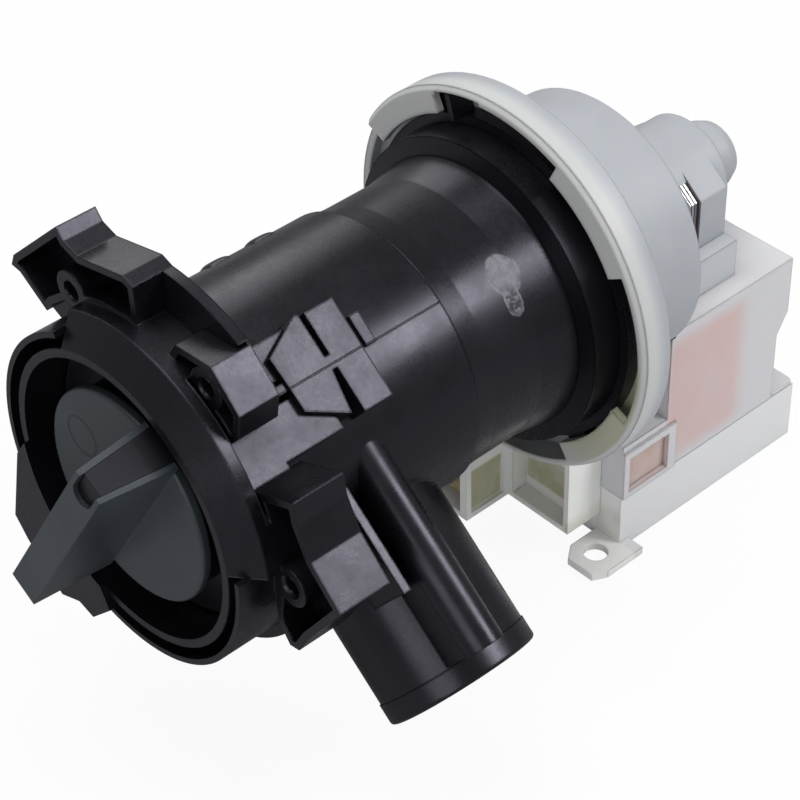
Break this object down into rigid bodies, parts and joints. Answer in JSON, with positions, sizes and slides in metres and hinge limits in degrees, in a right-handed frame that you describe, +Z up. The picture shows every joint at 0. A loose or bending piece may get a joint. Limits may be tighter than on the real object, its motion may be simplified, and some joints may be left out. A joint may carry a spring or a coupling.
{
  "type": "washer drain pump",
  "caption": "Washing machine drain pump: black housing with a side inlet, a screwed-in lint filter with a grey knob, and a bayonet-locked motor with a connector.",
  "frame": {"origin": "on the pump axis, in the plane of the front faces of the three screw bosses, where the pump seats against the washer", "axes": "+X along the pump axis from the filter knob to the motor, +Z up as the pump stands in the picture, -Y towards the side with the inlet"},
  "size_m": [0.2203, 0.1248, 0.1406],
  "materials": {
    "black_housing": "moulded black polypropylene, slightly dusty, with a soft sheen",
    "black_filter": "moulded black polypropylene",
    "grey_grip": "satin grey moulding",
    "white_cover": "cool white moulding, satin",
    "milky_box": "milky moulding that lets the coils tint it",
    "white_base": "white moulding, satin",
    "bobbin_plastic": "glass-filled nylon",
    "impeller_plastic": "glass-filled polypropylene",
    "slip_washer": "filled bearing plastic",
    "seal_rubber": "black EPDM",
    "mount_rubber": "dark EPDM",
    "sintered_bronze": "oil-filled sintered bronze",
    "ground_steel": "ground stainless steel",
    "ferrite": "ground ferrite",
    "core_steel": "stacked steel sheets with bright edges",
    "copper": "enamelled copper under tape",
    "tinned_brass": "tinned brass tabs"
  },
  "bodies": {
    "housing": {"pump_housing": "black_housing", "volute_seal": "seal_rubber"},
    "filter_carrier": {"filter_seal": "seal_rubber"},
    "filter": {"filter_grip": "grey_grip", "filter_plug": "black_filter", "filter_basket": "black_filter"},
    "motor": {"motor_cover": "white_cover", "front_bearing_mount": "mount_rubber", "front_bearing": "sintered_bronze", "rear_bearing_mount": "mount_rubber", "rear_bearing": "sintered_bronze", "stator_core": "core_steel", "core_yoke": "core_steel", "coil_bobbin_near": "bobbin_plastic", "coil_bobbin_far": "bobbin_plastic", "coil_winding_near": "copper", "coil_winding_far": "copper", "coil_cover": "milky_box", "terminal_base": "white_base", "connector_terminals": "tinned_brass", "rear_cap": "white_cover"},
    "rotor": {"rotor_shaft": "ground_steel", "thrust_washer": "slip_washer", "rotor_magnet": "ferrite", "drive_claw": "black_filter"},
    "impeller": {"impeller": "impeller_plastic", "coupling_damper": "seal_rubber", "hub_cap": "impeller_plastic"}
  },
  "joints": [
    {"name": "filter_travel", "type": "slide", "parent": "housing", "child": "filter_carrier", "axis": [-1, 0, 0], "range_m": [0, 0.008]},
    {"name": "knob_turn", "type": "hinge", "parent": "filter_carrier", "child": "filter", "pos_m": [0, 0, 0], "axis": [-1, 0, 0], "range_deg": [0, 180]},
    {"name": "motor_release", "type": "hinge", "parent": "housing", "child": "motor", "pos_m": [0.112, 0, 0], "axis": [-1, 0, 0], "range_deg": [0, 11]},
    {"name": "rotor_spin", "type": "hinge", "parent": "motor", "child": "rotor", "pos_m": [0.15, 0, 0], "axis": [1, 0, 0], "continuous": true},
    {"name": "impeller_play", "type": "hinge", "parent": "rotor", "child": "impeller", "pos_m": [0.105, 0, 0], "axis": [1, 0, 0], "range_deg": [-129, 89]}
  ],
  "couplings": [
    {"joint": "filter_travel", "follows": "knob_turn", "m_per_rad": 0.0025465}
  ]
}
